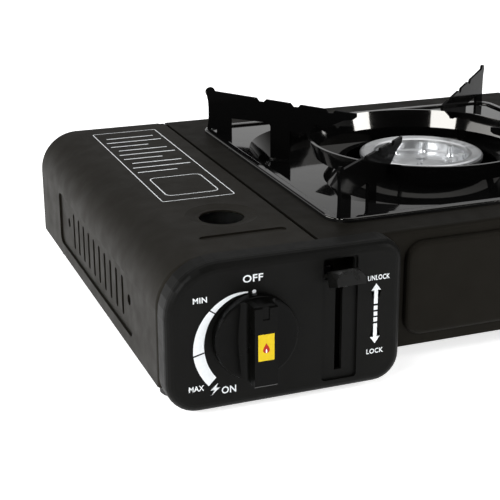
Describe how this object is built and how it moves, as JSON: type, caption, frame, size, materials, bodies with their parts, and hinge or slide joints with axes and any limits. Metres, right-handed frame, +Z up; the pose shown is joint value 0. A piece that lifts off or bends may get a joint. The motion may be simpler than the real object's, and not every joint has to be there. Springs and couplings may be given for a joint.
{
  "type": "butane cassette stove",
  "caption": "Low black tabletop gas stove with a hinged cartridge cover, drip tray, round burner, four-armed pan support, gas knob and cartridge lever.",
  "frame": {"origin": "centre of the overall footprint, on the table", "axes": "+X to the user's right, +Y away from the user, +Z up"},
  "size_m": [0.366, 0.307, 0.1117],
  "materials": {
    "body_coat": "matt warm black powder coat",
    "lid_coat": "matt warm black powder coat",
    "enamel": "gloss black vitreous enamel",
    "arm_enamel": "black vitreous enamel on cut sheet",
    "panel_plastic": "fine-grained black moulding",
    "knob_plastic": "satin black moulding",
    "label_print": "yellow printed label with a red flame drop",
    "cast_aluminium": "machined and blasted aluminium",
    "pressed_zinc": "zinc plated sheet",
    "plate_coat": "black coated sheet",
    "brass": "turned brass",
    "screw_steel": "zinc plated steel",
    "foot_rubber": "moulded rubber",
    "seal_rubber": "moulded seal",
    "ceramic": "glazed ceramic",
    "igniter_plastic": "white moulding",
    "lead_jacket": "red silicone jacket"
  },
  "bodies": {
    "stove": {"housing": "body_coat", "partition": "pressed_zinc", "base_plate": "plate_coat", "foot_1": "foot_rubber", "foot_2": "foot_rubber", "foot_3": "foot_rubber", "foot_4": "foot_rubber", "foot_screws": "screw_steel", "control_panel": "panel_plastic", "panel_screws": "screw_steel", "hinge_pins": "screw_steel", "regulator_body": "pressed_zinc", "regulator_cover": "pressed_zinc", "inlet_seal": "seal_rubber", "collar_plate": "pressed_zinc", "gas_pipe": "brass", "jet_bracket": "pressed_zinc", "jet_nozzle": "brass", "mixing_tube": "pressed_zinc", "burner_stand": "pressed_zinc", "burner_body": "cast_aluminium", "burner_cap": "cast_aluminium", "electrode": "screw_steel", "electrode_insulator": "ceramic", "electrode_bracket": "pressed_zinc", "ignition_lead": "lead_jacket", "igniter_body": "igniter_plastic", "lever_pivot_pin": "screw_steel", "slide_guides": "pressed_zinc", "spring_anchor": "pressed_zinc", "return_spring": "screw_steel"},
    "cover": {"cartridge_lid": "lid_coat"},
    "tray": {"drip_tray": "enamel"},
    "pan_support": {"trivet_ring": "enamel", "trivet_arm_1": "arm_enamel", "trivet_arm_2": "arm_enamel", "trivet_arm_3": "arm_enamel", "trivet_arm_4": "arm_enamel"},
    "gas_knob": {"knob": "knob_plastic", "knob_label": "label_print", "valve_spindle": "screw_steel", "ignition_cam": "igniter_plastic"},
    "igniter_slider": {"igniter_plunger": "igniter_plastic"},
    "lever": {"lever_arm": "pressed_zinc", "lever_cap": "knob_plastic"},
    "pusher": {"pusher_slide": "pressed_zinc"}
  },
  "joints": [
    {"name": "cover_hinge", "type": "hinge", "parent": "stove", "child": "cover", "pos_m": [-0.0974, 0.012, 0.0786], "axis": [0, 1, 0], "range_deg": [0, 95]},
    {"name": "knob_turn", "type": "hinge", "parent": "stove", "child": "gas_knob", "pos_m": [-0.138, -0.1355, 0.043], "axis": [0, -1, 0], "range_deg": [0, 135]},
    {"name": "plunger_push", "type": "slide", "parent": "stove", "child": "igniter_slider", "axis": [1, 0, 0], "range_m": [0, 0.003]},
    {"name": "lever_swing", "type": "hinge", "parent": "stove", "child": "lever", "pos_m": [-0.0908, -0.084, 0.0435], "axis": [1, 0, 0], "range_deg": [0, 46]},
    {"name": "pusher_travel", "type": "slide", "parent": "stove", "child": "pusher", "axis": [0, -1, 0], "range_m": [0, 0.00703], "deforming": ["return_spring"]},
    {"name": "tray_lift", "type": "slide", "parent": "stove", "child": "tray", "axis": [0, 0, 1], "range_m": [0, 0.05]},
    {"name": "support_lift", "type": "slide", "parent": "tray", "child": "pan_support", "axis": [0, 0, 1], "range_m": [0, 0.05]}
  ],
  "couplings": [
    {"joint": "plunger_push", "follows": "knob_turn", "m_per_rad": 0.0012732},
    {"joint": "pusher_travel", "follows": "lever_swing", "m_per_rad": 0.0087602}
  ]
}
